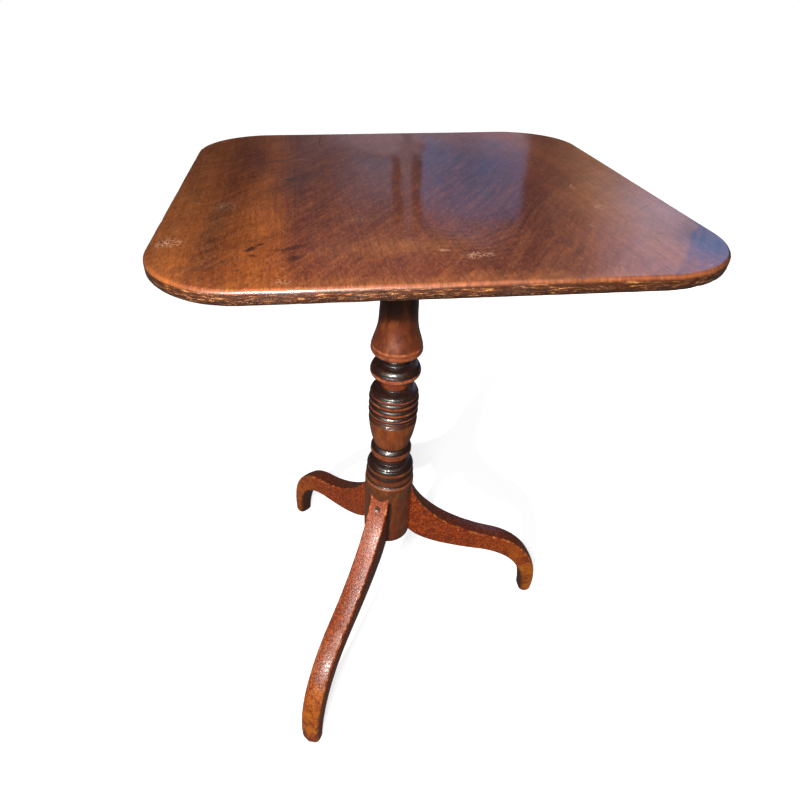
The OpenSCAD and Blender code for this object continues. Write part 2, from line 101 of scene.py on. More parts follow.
class Shader:
    """Builds one node material or world: calls return sockets, and arguments may be sockets."""

    def __init__(self, owner):
        owner.use_nodes = True
        self.tree = owner.node_tree
        self.tree.nodes.clear()

    def node(self, kind, inputs=(), **settings):
        made = self.tree.nodes.new(kind)
        for key, value in settings.items():
            setattr(made, key, value)
        for key, value in dict(inputs).items():
            self.put(made.inputs[key], value)
        return made

    def put(self, socket, value):
        if isinstance(value, bpy.types.NodeSocket):
            self.tree.links.new(value, socket)
        elif value is not None:
            if socket.type == "RGBA" and len(value) == 3:
                value = (*value, 1)
            socket.default_value = value

    def math(self, operation, a, b=0.0, c=0.0, clamp=False):
        made = self.node("ShaderNodeMath", {0: a, 1: b, 2: c}, operation=operation)
        made.use_clamp = clamp
        return made.outputs[0]

    def vector(self, operation, a, b=(0, 0, 0), scale=1.0):
        made = self.node("ShaderNodeVectorMath", {0: a, 1: b}, operation=operation)
        if operation == "SCALE":
            self.put(made.inputs["Scale"], scale)
        return made.outputs["Value" if operation in ("LENGTH", "DOT_PRODUCT") else "Vector"]

    def step(self, value, start, end, low=0.0, high=1.0, smooth=True):
        """low until value reaches start, high from end on."""
        kind = "SMOOTHSTEP" if smooth else "LINEAR"
        inputs = {"Value": value, "From Min": start, "From Max": end, "To Min": low, "To Max": high}
        return self.node("ShaderNodeMapRange", inputs, interpolation_type=kind).outputs[0]

    def mix(self, fac, a, b):
        made = self.node("ShaderNodeMix", data_type="RGBA", blend_type="MIX")
        made.clamp_factor = True
        for socket, value in ((0, fac), (6, a), (7, b)):
            self.put(made.inputs[socket], value)
        return made.outputs[2]

    def ramp(self, fac, *stops):
        made = self.node("ShaderNodeValToRGB", {"Fac": fac})
        line = made.color_ramp
        while len(line.elements) < len(stops):
            line.elements.new(0.5)
        for element, (place, colour) in zip(line.elements, stops):
            element.position = place
            element.color = (*colour, 1)
        return made.outputs["Color"]

    def noise(self, at, scale, detail=3.0, rough=0.5, twist=0.0, low=0.3, high=0.7):
        """Noise stretched so that low and high become 0 and 1."""
        inputs = {"Vector": at, "Scale": scale, "Detail": detail, "Roughness": rough, "Distortion": twist}
        made = self.node("ShaderNodeTexNoise", inputs)
        return self.step(made.outputs[0], low, high, smooth=False)

    def stretched(self, at, size, turn=0.0, centre=(0, 0, 0)):
        """Coordinates from centre, turned about Z and divided by size."""
        inputs = {"Vector": at, "Location": tuple(centre), "Rotation": (0, 0, turn), "Scale": tuple(size)}
        return self.node("ShaderNodeMapping", inputs, vector_type="TEXTURE").outputs[0]

    def spot(self, at, centre, size, turn=0.0, bend=0.0, soft=0.5):
        """1 within an oval patch, fading to 0 at its edge; bend curves its long axis."""
        ways = ((math.cos(turn), math.sin(turn)), (-math.sin(turn), math.cos(turn)))
        x, y = (self.math("SUBTRACT", self.vector("DOT_PRODUCT", at, (way[0] / reach, way[1] / reach, 0)),
                          (way[0] * centre[0] + way[1] * centre[1]) / reach)
                for way, reach in zip(ways, size))
        if bend:
            y = self.math("SUBTRACT", y, self.math("MULTIPLY", self.math("MULTIPLY", x, x), bend))
        reach = self.math("SQRT", self.math("MULTIPLY_ADD", x, x, self.math("MULTIPLY", y, y)))
        return self.step(reach, 1 - soft, 1, 1.0, 0.0)

    def cells(self, at, size, line):
        """Thin lines between cells of the given size, as in crazed polish."""
        made = self.node("ShaderNodeTexVoronoi", {"Vector": at, "Scale": 1 / size},
                         feature="DISTANCE_TO_EDGE")
        return self.step(made.outputs["Distance"], 0.0, line, 1.0, 0.0)

    def strongest(self, masks):
        total = masks[0]
        for mask in masks[1:]:
            total = self.math("MAXIMUM", total, mask)
        return total

    def attribute(self, name):
        return self.node("ShaderNodeAttribute", attribute_name=name).outputs["Fac"]

    def bump(self, height, depth):
        inputs = {"Height": height, "Distance": depth, "Strength": 1.0}
        return self.node("ShaderNodeBump", inputs).outputs[0]

    def surface(self, colour, rough, normal, **settings):
        """The principled shader that ends a material."""
        names = {"metal": "Metallic", "ior": "IOR", "coat": "Coat Weight",
                 "coat_rough": "Coat Roughness"}
        inputs = {names[key]: value for key, value in settings.items()}
        inputs.update({"Base Color": colour, "Roughness": rough, "Normal": normal})
        made = self.node("ShaderNodeBsdfPrincipled", inputs)
        self.node("ShaderNodeOutputMaterial", {"Surface": made.outputs[0]})


def srgb(red, green, blue):
    """A colour given as it looks, as the linear numbers that shaders use."""
    return tuple(c / 12.92 if c <= 0.04045 else ((c + 0.055) / 1.055) ** 2.4
                 for c in (red, green, blue))


def new_shader(name):
    material = bpy.data.materials.new(name)
    shader = Shader(material)
    at = shader.node("ShaderNodeTexCoord").outputs["Object"]
    return material, shader, at


# What the polish mirrors behind the table: left, right, lowest and highest angle in radians,
# the softness of each of those four ends, how much the upper end is domed, and the light there
MIRRORED = [
    (-0.06, 0.20, -0.5, 0.42, 0.07, 0.02, 0.05, 0.06, 0.0, (0.10, 0.083, 0.10)),
    (0.03, 0.36, -0.5, 0.226, 0.05, 0.012, 0.05, 0.012, 0.0, (0.36, 0.27, 0.33)),
    (0.06, 0.142, 0.234, 0.315, 0.05, 0.004, 0.007, 0.03, 0.0, (0.13, 0.20, 0.31)),
    (0.192, 0.364, 0.212, 0.345, 0.004, 0.007, 0.03, 0.035, 3.4, (0.11, 0.23, 0.46)),
    (0.142, 0.193, 0.228, 0.350, 0.003, 0.003, 0.010, 0.03, 0.0, (0.02, 0.012, 0.01)),
    (0.157, 0.176, -0.5, 0.36, 0.004, 0.004, 0.05, 0.03, 0.0, (0.22, 0.17, 0.20)),
    (0.43, 0.70, -0.5, 0.7, 0.05, 0.03, 0.05, 0.2, 0.0, (0.36, 0.20, 0.12)),
    (0.53, 0.70, 0.20, 0.7, 0.07, 0.03, 0.08, 0.2, 0.0, (0.80, 0.72, 0.95)),
    (0.635, 0.85, 0.10, 0.6, 0.004, 0.10, 0.05, 0.2, 0.0, (0.10, 0.50, 1.15)),
]


def make_world():
    """Pale behind the table; in the polish, a dim room with a few tall soft windows."""
    world = bpy.data.worlds.new("studio")
    bpy.context.scene.world = world
    s = Shader(world)
    way = s.node("ShaderNodeTexCoord").outputs["Generated"]
    parts = s.node("ShaderNodeSeparateXYZ", {"Vector": way}).outputs
    height = s.math("ARCSINE", parts[2])
    azimuth = s.math("MULTIPLY_ADD", height, -0.08, s.math("ARCTAN2", parts[0], parts[1]))
    azimuth = s.math("ADD", azimuth, 0.017)
    seen = s.ramp(s.step(height, 0.45, 1.2), (0, (0.020, 0.016, 0.018)), (0.5, (0.12, 0.10, 0.11)),
                  (1, (0.42, 0.41, 0.44)))
    cloudy = s.noise(way, 7.0, 3.0, 0.6, 0.5, 0.3, 0.7)
    for left, right, low, high, left_soft, right_soft, low_soft, high_soft, dome, light in MIRRORED:
        off = s.math("SUBTRACT", azimuth, (left + right) / 2)
        crown = s.math("MULTIPLY_ADD", s.math("MULTIPLY", off, off), dome, height)
        sides = s.math("MULTIPLY", s.step(azimuth, left - left_soft, left + left_soft),
                       s.step(azimuth, right - right_soft, right + right_soft, 1.0, 0.0))
        ends = s.math("MULTIPLY", s.step(height, low - low_soft, low + low_soft),
                      s.step(crown, high - high_soft, high + high_soft, 1.0, 0.0))
        seen = s.mix(s.math("MULTIPLY", sides, ends), seen, light)
    seen = s.vector("SCALE", seen, scale=s.math("MULTIPLY_ADD", cloudy, 0.7, 0.6))
    path = s.node("ShaderNodeLightPath").outputs
    lit = s.mix(path["Is Glossy Ray"], (0.115, 0.12, 0.14), seen)
    lit = s.mix(path["Is Camera Ray"], lit, (1, 1, 1))
    background = s.node("ShaderNodeBackground", {"Color": lit, "Strength": 1.0})
    s.node("ShaderNodeOutputWorld", {"Surface": background.outputs[0]})


def make_floor():
    """A pale floor whose shadows stay soft and light."""
    half = 6.0
    mesh = bpy.data.meshes.new("floor")
    corners = [(-half, -half, 0), (half, -half, 0), (half, half, 0), (-half, half, 0)]
    mesh.from_pydata(corners, [], [(0, 1, 2, 3)])
    floor = bpy.data.objects.new("floor", mesh)
    bpy.context.scene.collection.objects.link(floor)
    material = bpy.data.materials.new("floor")
    s = Shader(material)
    paint = s.node("ShaderNodeBsdfDiffuse", {"Color": (0.5, 0.5, 0.5)})
    glow = s.node("ShaderNodeEmission", {"Color": (1, 1, 1), "Strength": 0.72})
    seen = s.node("ShaderNodeAddShader", {0: paint.outputs[0], 1: glow.outputs[0]})
    dim = s.node("ShaderNodeBsdfDiffuse", {"Color": (0.09, 0.08, 0.075)})
    path = s.node("ShaderNodeLightPath").outputs
    both = s.node("ShaderNodeMixShader", {0: path["Is Camera Ray"], 1: dim.outputs[0], 2: seen.outputs[0]})
    s.node("ShaderNodeOutputMaterial", {"Surface": both.outputs[0]})
    mesh.materials.append(material)


KEY_AZIMUTH, KEY_ELEVATION, KEY_ANGLE = math.radians(-30), math.radians(29), math.radians(1.8)
# Where the other lights stand, in metres from the middle of the pillar or from the camera
FILL_PLACE, UNDER_PLACE, FLASH_PLACE = (-0.9, -2.2, -0.15), (0.9, 1.5, -0.22), (-0.06, 0, 0.045)


def make_studio():
    """A key like low sun, a broad fill, a light for the underside and a flash by the camera."""
    make_camera()
    make_world()
    make_floor()
    middle = pillar_axis + Vector((0, 0, table_h / 2))
    side, up = KEY_AZIMUTH, KEY_ELEVATION
    far = middle + 4 * Vector((math.sin(side) * math.cos(up), -math.cos(side) * math.cos(up), math.sin(up)))
    make_light("key", "SUN", 3.9, far, middle, (1.0, 0.965, 0.92), angle=KEY_ANGLE)
    front = middle + Vector(FILL_PLACE)
    fill = make_light("fill", "AREA", 2.5, front, middle, (1.0, 0.95, 0.9), size=1.6)
    fill.visible_glossy = False
    low = middle + Vector(UNDER_PLACE)
    underside = middle + Vector((0, 0, 0.25))
    under = make_light("under", "AREA", 32.0, low, underside, (1.0, 0.97, 0.94), size=1.2)
    under.visible_glossy = False
    camera = bpy.context.scene.camera.location
    flash = camera + Vector(FLASH_PLACE)
    make_light("flash", "AREA", 6.5, flash, middle, (1.0, 0.98, 0.95), size=0.10)
    bpy.context.scene.view_settings.view_transform = "Standard"


# ---------------------------------------------------------------- mesh helpers, in millimetres

def curve_at(p, t):
    return ((1 - t) ** 3 * p[0][i] + 3 * t * (1 - t) ** 2 * p[1][i]
            + 3 * t * t * (1 - t) * p[2][i] + t ** 3 * p[3][i] for i in (0, 1))


def curve(p, steps):
    return [tuple(curve_at(p, i / steps)) for i in range(steps + 1)]


def bow(a, b, swell, steps=8):
    """Points from a to b on a turned profile, swelling outwards in the middle."""
    points = []
    for i in range(steps + 1):
        t = i / steps
        points.append((a[0] + (b[0] - a[0]) * t + 4 * swell * t * (1 - t), a[1] + (b[1] - a[1]) * t))
    return points


def spaced(points, spacing):
    """The same line with its points the given distance apart; spacing may depend on the place."""
    out = [points[0]]
    for a, b in zip(points, points[1:]):
        length = math.dist(a, b)
        count = max(1, round(length / spacing((a[1] + b[1]) / 2)))
        out += [tuple(a[k] + (b[k] - a[k]) * i / count for k in (0, 1)) for i in range(1, count + 1)]
    return out


def along(points, count):
    """Points at even steps of arc length."""
    lengths = [0.0]
    for a, b in zip(points, points[1:]):
        lengths.append(lengths[-1] + math.dist(a, b))
    out, k = [], 0
    for i in range(count + 1):
        want = lengths[-1] * i / count
        while k < len(points) - 2 and lengths[k + 1] < want:
            k += 1
        t = (want - lengths[k]) / max(lengths[k + 1] - lengths[k], 1e-9)
        out.append(tuple(points[k][j] + (points[k + 1][j] - points[k][j]) * t for j in (0, 1)))
    return out


def smoothed(values, reach):
    """Each value averaged with its neighbours, with weights that fall off over reach steps."""
    weights = [math.exp(-0.5 * (k / reach) ** 2) for k in range(-3 * reach, 3 * reach + 1)]
    out, last = [], len(values) - 1
    for i in range(len(values)):
        near = [values[min(max(i + k, 0), last)] for k in range(-3 * reach, 3 * reach + 1)]
        out.append(sum(w * v for w, v in zip(weights, near)) / sum(weights))
    return out


def make_piece(name, points, faces, body, nodes, materials, face_materials=None, marks=None):
    """An object from points in millimetres of the row frame, riding on a body."""
    mesh = bpy.data.meshes.new(name)
    mesh.from_pydata([Vector(p) * MM for p in points], [], faces)
    for material in materials:
        mesh.materials.append(material)
    if face_materials:
        mesh.polygons.foreach_set("material_index", face_materials)
    for mark, values in (marks or {}).items():
        mesh.attributes.new(mark, "FLOAT", "POINT").data.foreach_set("value", values)
    mesh.polygons.foreach_set("use_smooth", [True] * len(faces))
    mesh.validate()
    mesh.update()
    piece = bpy.data.objects.new(name, mesh)
    bpy.context.scene.collection.objects.link(piece)
    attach(piece, body)
    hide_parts(*nodes)


def ring_faces(first, count, flip=False):
    """Faces between a ring of count points at index first and the ring after it."""
    faces = []
    for i in range(count):
        a, b = first + i, first + (i + 1) % count
        face = (a, b, b + count, a + count)
        faces.append(face[::-1] if flip else face)
    return faces


# ---------------------------------------------------------------- table top

TOP_W = (top_high.x - top_low.x) / MM
TOP_D = (top_high.y - top_low.y) / MM
TOP_T = (top_high.z - top_low.z) / MM
CORNER_R = 79.0
UPPER_ROUND = 4.0
LOWER_ROUND = 5.0
CENTRE = top_middle / MM
TOP_Z = top_high.z / MM


def board_outline(spacing):
    """Points and outward directions round the board's plan, anticlockwise."""
    out = []
    signs = [(1, 1), (-1, 1), (-1, -1), (1, -1)]
    mids = [(sx * (TOP_W / 2 - CORNER_R), sy * (TOP_D / 2 - CORNER_R)) for sx, sy in signs]
    for i, mid in enumerate(mids):
        steps = round(CORNER_R * math.pi / 2 / spacing)
        for k in range(steps + 1):
            a = math.pi / 2 * (i + k / steps)
            way = (math.cos(a), math.sin(a))
            out.append((mid[0] + CORNER_R * way[0], mid[1] + CORNER_R * way[1], *way))
        after = mids[(i + 1) % 4]
        start = out[-1]
        end = (after[0] + CORNER_R * start[2], after[1] + CORNER_R * start[3])
        steps = round(math.dist(start[:2], end) / spacing)
        for k in range(1, steps):
            t = k / steps
            out.append((start[0] + (end[0] - start[0]) * t, start[1] + (end[1] - start[1]) * t, *start[2:]))
    return out


def edge_profile():
    """(inset, depth below the top, wear mark) down the board's edge."""
    out = []
    for i in range(9):
        a = math.pi / 2 * i / 8
        out.append((UPPER_ROUND * (1 - math.sin(a)), UPPER_ROUND * (1 - math.cos(a)), i / 8))
    flat = TOP_T - UPPER_ROUND - LOWER_ROUND
    out += [(0, UPPER_ROUND + flat * k / 3, 1) for k in (1, 2)]
    for i in range(9):
        a = math.pi / 2 * i / 8
        out.append((LOWER_ROUND * (1 - math.cos(a)), TOP_T - LOWER_ROUND * (1 - math.sin(a)), 1))
    return out


def edge_chips():
    """Small dents along the edge: place along the outline, depth below the top, length, size."""
    draw = random.Random(11)
    chips = []
    for _ in range(90):
        low = draw.random() < 0.65
        depth = TOP_T - draw.uniform(0.5, 4) if low else draw.uniform(0.3, 2.5)
        size = draw.uniform(0.25, 0.9) if low else draw.uniform(0.12, 0.4)
        chips.append((draw.random(), depth, draw.uniform(2, 9), size))
    return chips


def make_board(materials):
    outline = board_outline(3.0)
    count = len(outline)
    profile = edge_profile()
    chips = edge_chips()
    rings = []
    inner = [70, 60, 51, 43, 36, 30, 24.5, 19.5, 15, 11.5, 8.5, 6.3]
    scales = [k / 16 for k in range(1, 16)]
    last_inset = inner[0]
    for k in scales:
        rings.append([(k * (x - nx * last_inset), k * (y - ny * last_inset), 0, 0)
                      for x, y, nx, ny in outline])
    for inset in inner:
        rings.append([(x - nx * inset, y - ny * inset, 0, 0) for x, y, nx, ny in outline])
    length = 2 * (TOP_W + TOP_D)
    for inset, depth, wear in profile:
        ring = []
        for i, (x, y, nx, ny) in enumerate(outline):
            rub = 0.35 + 0.35 * noise.noise(Vector((x, y, depth * 2)) / 23)
            rub += 0.14 * noise.noise(Vector((x, y, depth * 3)) / 5)
            rub *= min(1, depth / 3)
            for place, chip_depth, reach, size in chips:
                gap = abs(i / count - place)
                gap = min(gap, 1 - gap) * length / reach
                if gap < 2:
                    rub += size * math.exp(-2 * gap * gap - ((depth - chip_depth) / 1.6) ** 2)
            cut = inset + max(rub, 0)
            ring.append((x - nx * cut, y - ny * cut, depth, wear))
        rings.append(ring)
    bottom_start = len(rings) - 1
    for inset in reversed(inner[:-2:3]):
        rings.append([(x - nx * inset, y - ny * inset, TOP_T, 2) for x, y, nx, ny in outline])
    for k in reversed(scales[::3]):
        rings.append([(k * (x - nx * last_inset), k * (y - ny * last_inset), TOP_T, 2)
                      for x, y, nx, ny in outline])

    points, marks = [], []
    for ring in [[(0, 0, 0, 0)]] + rings + [[(0, 0, TOP_T, 2)]]:
        for x, y, depth, wear in ring:
            sag = 0
            if wear < 1:
                sag = 0.22 + 0.22 * noise.noise(Vector((x / 60, y / 110, 0)))
                sag += 0.05 * noise.noise(Vector((x / 17, y / 40, 5)))
                sag *= 1 - wear
            points.append((CENTRE.x + x, CENTRE.y + y, TOP_Z - depth - sag))
            marks.append(min(wear, 1))
    faces = [(0, 1 + i, 1 + (i + 1) % count) for i in range(count)]
    for k in range(len(rings) - 1):
        faces += ring_faces(1 + k * count, count, flip=True)
    last = 1 + (len(rings) - 1) * count
    faces += [(last + (i + 1) % count, last + i, last + count) for i in range(count)]
    polished = count * (bottom_start + 1)
    kinds = [0] * polished + [1] * (len(faces) - polished)
    make_piece("top_board", points, faces, "top", ["table_top"], materials, kinds,
               {"edge": marks})


# ---------------------------------------------------------------- pillar

BASE_R, BASE_Z, BASE_TOP = 35.6, pillar_low.z / MM, 321.5
NECK_LOW, NECK_R, DRUM_R, BELL_R = 22.4, 18.2, 33.2, 32.3
UNDER_Z = top_low.z / MM
BLOCK_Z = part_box("tilt_block")[0].z / MM
TENON_R = 15.0
GROOVE_ZS = [431.8, 435.6, 440.2, 448.2, 459.2, 470.2, 475.6]
REED_SWELL = [0.7, 0.7, 1.7, 1.7, 1.7, 0.7]


def pillar_profile():
    """The turned outline from the base upwards, as (radius, height)."""
    line = [(0, BASE_Z), (BASE_R - 0.8, BASE_Z), (BASE_R, BASE_Z + 0.8), (BASE_R, 304.6),
            (BASE_R - 0.9, 305.2), (BASE_R, 305.8), (BASE_R, BASE_TOP), (BASE_R - 2, BASE_TOP + 1)]
    line += bow((32.6, 323.3), (32.6, 339.4), 1.7)
    line += bow((32, 340.6), (31.3, 351.4), 1.5)
    line += bow((30.6, 352), (26, 356.6), 1.3)
    line += bow((NECK_LOW, 357.2), (NECK_LOW, 365.6), -0.4)
    line += bow((NECK_LOW + 1, 366.4), (28.5, 374.5), 1.6)
    line += bow((28.3, 376), (24.6, 385.4), 1.5)
    line += bow((24.2, 386.4), (DRUM_R - 0.6, 431.8), 1.3, 12)
    for i, swell in enumerate(REED_SWELL):
        line += bow((DRUM_R - 2.1 - 0.1 * i, GROOVE_ZS[i] + 0.4),
                    (DRUM_R - 2.1 - 0.15 * i, GROOVE_ZS[i + 1] - 0.2), swell + 0.4)
    line += bow((30.2, 476.2), (24, 480.6), 1.6)
    line += bow((NECK_R, 481.6), (NECK_R, 500), -0.3)
    line += bow((NECK_R + 1, 500.6), (30.4, 501.8), 0.6)
    line += bow((31.2, 502.6), (31.4, 510.4), 0.9)
    line += bow((30.8, 511.2), (28.4, 515.9), 0.5)
    line += bow((27.8, 516.5), (NECK_R + 0.6, 518.8), 1.8)
    line += bow((NECK_R, 519.6), (NECK_R, 524.6), -0.2)
    line += bow((NECK_R + 0.4, 525), (NECK_R + 0.4, 527), 1.2)
    line += bow((NECK_R + 1.2, 527.4), (29.5, 533.4), 0.8)
    line += bow((30.8, 534.4), (31.7, 541.2), 1)
    line += curve([(BELL_R - 0.5, 542.8), (29, 556), (24.3, 562), (23.4, 578)], 12)
    line += curve([(23.2, 582), (22.3, 600), (21.6, 620), (21.6, 650)], 6)
    line += bow((21.8, 658), (21.8, 664), 2.2)
    line += curve([(22, 666), (23, 672), (29.5, 672), (30, BLOCK_Z - 4)], 8)
    line += [(30, BLOCK_Z - 0.1), (TENON_R, BLOCK_Z - 0.1), (TENON_R, UNDER_Z - 0.9), (0, UNDER_Z - 0.9)]
    return line


def make_pillar(materials):
    def spacing(z):
        return 0.5 if BASE_TOP - 2 < z < 545 else 3.0

    line = spaced(pillar_profile(), spacing)
    radii = smoothed([p[0] for p in line], 1)
    heights = smoothed([p[1] for p in line], 1)
    broad = smoothed([p[0] for p in line], 7)
    radii[0] = radii[-1] = 0
    count = 120
    points, groove, ledge = [], [], []
    for k, (r, z) in enumerate(zip(radii, heights)):
        around = 1 if k in (0, len(radii) - 1) else count
        back, ahead = max(k - 1, 0), min(k + 1, len(radii) - 1)
        dr, dz = radii[ahead] - radii[back], heights[ahead] - heights[back]
        up = -dr / max(math.hypot(dr, dz), 1e-6)
        hollow = min(max((broad[k] - r) / 1.6, -1), 1) if spacing(z) < 1 else 0
        for i in range(around):
            a = 2 * math.pi * i / count
            out = Vector((math.cos(a), math.sin(a), 0))
            rub = 0.12 * noise.noise(Vector((out.x * 1.5, out.y * 1.5, z / 9)))
            reach = max(r - 0.06 + rub * min(1, r / 10), 0)
            points.append(pillar_axis / MM + out * reach + Vector((0, 0, z)))
            groove.append(hollow)
            ledge.append(max(up, 0))
    rings = len(radii) - 2
    faces = [(0, 1 + (i + 1) % count, 1 + i) for i in range(count)]
    for k in range(rings - 1):
        faces += ring_faces(1 + k * count, count)
    last = 1 + (rings - 1) * count
    faces += [(last + i, last + (i + 1) % count, last + count) for i in range(count)]
    make_piece("turned_pillar", points, faces, "stand", ["pillar"], materials,
               marks={"groove": groove, "ledge": ledge})


# ---------------------------------------------------------------- legs

FOOT_REACH, FOOT_W, FOOT_ROUND, LEG_T = 278.0, 23.0, 8.0, 28.0
LEG_EASE = 3.4
LEG_CROWN = 1.6
LEG_ANGLES = {"front": -120.0, "right": 0.0, "back": 122.5}
BACK_HIGH = [(33, 304), (47, 244), (116, 195.5), (178, 173)]
BACK_LOW = [(178, 173), (230, 154), (FOOT_REACH + 3, 98), (FOOT_REACH, FOOT_ROUND)]
BELLY_HIGH = [(33, 208), (46, 186), (78, 165), (160, 141.5)]
BELLY_LOW = [(160, 141.5), (205, 126), (FOOT_REACH - 28, 95), (FOOT_REACH - FOOT_W, FOOT_ROUND)]
FOOT_BALL = 10.5
# Share of the leg's length after which its edges soften towards the foot, and by how many mm
SOFT_FROM, SOFT_MORE = 0.72, 4.5
# Direction in which the front leg's screw is sunk, outwards and down
SUNK_OUT, SUNK_DOWN = 0.91, 0.42
SCREW_T, SCREW_HOLE_R, SCREW_SUNK = 0.12, 3.1, 1.1


def leg_ring(width, height, ease):
    """Points round a leg's section as (across, up), with a mark on the upper face and arrises."""
    crown = min(LEG_CROWN, 0.3 * ease)
    across, up = width / 2 - ease, height - ease - crown
    out = []
    corners = (((across, up), 0), ((-across, up), 90), ((-across, ease), 180), ((across, ease), 270))
    for (x, y), start in corners:
        for k in range(6):
            a = math.radians(start + 18 * k)
            arris = math.sin(math.pi * k / 5) if start < 180 else 0
            out.append((x + ease * math.cos(a), y + ease * math.sin(a),
                        math.sin(a) if y == up else 0, arris, 0 if y == up else -math.sin(a)))
        if start in (0, 180):
            side = 1 if start == 0 else -1
            for k in range(1, 20):
                t = k / 20
                level = height - crown + crown * math.sin(math.pi * t) if start == 0 else 0
                out.append((side * across * (1 - 2 * t), level,
                            1 if start == 0 else 0, 0, 0 if start == 0 else 1))
        else:
            for k in range(1, 10):
                t = k / 10
                y0, y1 = (up, ease) if start == 90 else (ease, up)
                out.append(((-1 if start == 90 else 1) * width / 2, y0 + (y1 - y0) * t, 0, 0, 0))
    return out


def make_leg(name, materials):
    stations = 240
    backs = along(curve(BACK_HIGH, 40)[:-1] + curve(BACK_LOW, 40), stations)
    bellies = along(curve(BELLY_HIGH, 40)[:-1] + curve(BELLY_LOW, 40), stations)
    screw = Vector(tuple(curve_at(BACK_HIGH, SCREW_T)))
    turn = math.radians(LEG_ANGLES[name])
    out_way = Vector((math.cos(turn), math.sin(turn), 0))
    side_way = Vector((-math.sin(turn), math.cos(turn), 0))
    foot_steps = 7
    points, marks = [], {"upper": [], "arris": [], "under": [], "down": []}

    def add_ring(back, belly, drop, down):
        back, belly = Vector(back), Vector(belly)
        above = max(FOOT_BALL - (back.y + belly.y) / 2 + drop, 0)
        inset = min(FOOT_BALL - math.sqrt(max(FOOT_BALL ** 2 - above ** 2, 0)), 10)
        way = (back - belly).normalized()
        height = (back - belly).length - 2 * inset
        softer = min(max((down - SOFT_FROM) / 0.25, 0), 1)
        ease = min(LEG_EASE + SOFT_MORE * softer ** 2 + inset * 0.4, height / 2 - 0.2)
        ring = leg_ring(LEG_T - 2 * inset, height, ease)
        for across, up, upper, arris, under in ring:
            flat = belly + way * (inset + up)
            radius, z = min(flat.x, FOOT_REACH), flat.y - drop
            if name == "front" and upper > 0.5:
                gap = math.hypot((Vector((radius, z)) - screw).length, across)
                depth = min(max((SCREW_HOLE_R + 0.5 - gap) / 0.8, 0), 1) * SCREW_SUNK
                radius, z = radius - SUNK_OUT * depth, z - SUNK_DOWN * depth
            place = pillar_axis / MM + out_way * radius + side_way * across + Vector((0, 0, z))
            rub = 0.16 * noise.noise(place / 14) + 0.05 * noise.noise(place / 4)
            place -= side_way * rub * (1 if across > 0 else -1)
            points.append(place)
            marks["upper"].append(upper)
            marks["arris"].append(arris)
            marks["under"].append(under)
            marks["down"].append(down)
        return len(ring)

    for k, (back, belly) in enumerate(zip(backs, bellies)):
        count = add_ring(back, belly, 0, k / stations)
    for k in range(1, foot_steps + 1):
        a = math.pi / 2 * k / foot_steps
        add_ring(backs[-1], bellies[-1], FOOT_ROUND * math.sin(a), 1)
    rings = stations + 1 + foot_steps
    faces = []
    for k in range(rings - 1):
        faces += ring_faces(k * count, count, flip=True)
    for first, flip in ((0, False), ((rings - 1) * count, True)):
        ends = points[first:first + count]
        points.append(sum(ends, Vector()) / count)
        for key, value in (("upper", 0), ("arris", 0), ("under", 1), ("down", 1 if flip else 0)):
            marks[key].append(value)
        middle = len(points) - 1
        for i in range(count):
            face = (first + i, first + (i + 1) % count, middle)
            faces.append(face[::-1] if flip else face)
    make_piece(f"swept_leg_{name}", points, faces, "stand", [f"leg_{name}"], materials,
               marks=marks)


# ---------------------------------------------------------------- materials

ORANGE, TAN, GOLD = srgb(0.62, 0.33, 0.14), srgb(0.60, 0.40, 0.28), srgb(0.57, 0.34, 0.18)
OLIVE, RED = srgb(0.31, 0.18, 0.09), srgb(0.36, 0.15, 0.08)
PLUM, DARK = srgb(0.27, 0.13, 0.11), srgb(0.22, 0.09, 0.05)
# Broad patches of colour in the board: place in halves of the board, half sizes in millimetres,
# turn in radians, strength and colour
FIGURE = [
    (-0.93, -0.05, 15, 170, 0.0, 0.45, GOLD), (-0.63, -0.27, 15, 110, 0.02, 1.0, ORANGE),
    (-0.79, -0.50, 13, 88, -0.03, 0.8, OLIVE), (-0.69, 0.42, 15, 100, 0.0, 0.8, RED),
    (-0.50, 0.10, 26, 62, -0.2, 0.8, PLUM), (-0.43, -0.36, 22, 50, -0.3, 0.9, RED),
    (-0.30, 0.60, 70, 60, 0.0, 0.3, PLUM), (-0.78, -0.80, 34, 9, 0.3, 0.6, OLIVE),
    (0.42, -0.36, 26, 88, -0.42, 0.9, RED), (0.68, 0.05, 26, 60, -0.35, 0.6, RED),
    (-0.12, -0.69, 78, 22, 0.15, 0.6, GOLD), (0.82, -0.25, 34, 125, -0.2, 0.5, TAN),
    (0.93, -0.72, 30, 50, 0.0, 0.8, DARK), (0.05, -0.97, 220, 12, 0.0, 0.6, GOLD),
    (0.30, 0.25, 50, 100, 0.0, 0.5, DARK), (0.15, -0.25, 14, 60, 0.1, 0.5, RED),
]
# The wood's colour across the board, from left to right
BANDS = [(0.0, (0.54, 0.30, 0.13)), (0.06, (0.57, 0.31, 0.12)), (0.12, (0.43, 0.21, 0.09)),
         (0.18, (0.56, 0.29, 0.10)), (0.22, (0.55, 0.28, 0.10)), (0.25, (0.40, 0.185, 0.10)),
         (0.36, (0.42, 0.205, 0.12)), (0.50, (0.41, 0.195, 0.12)), (0.66, (0.33, 0.145, 0.085)),
         (0.77, (0.45, 0.20, 0.10)), (0.88, (0.60, 0.34, 0.17)), (1.0, (0.53, 0.28, 0.13))]
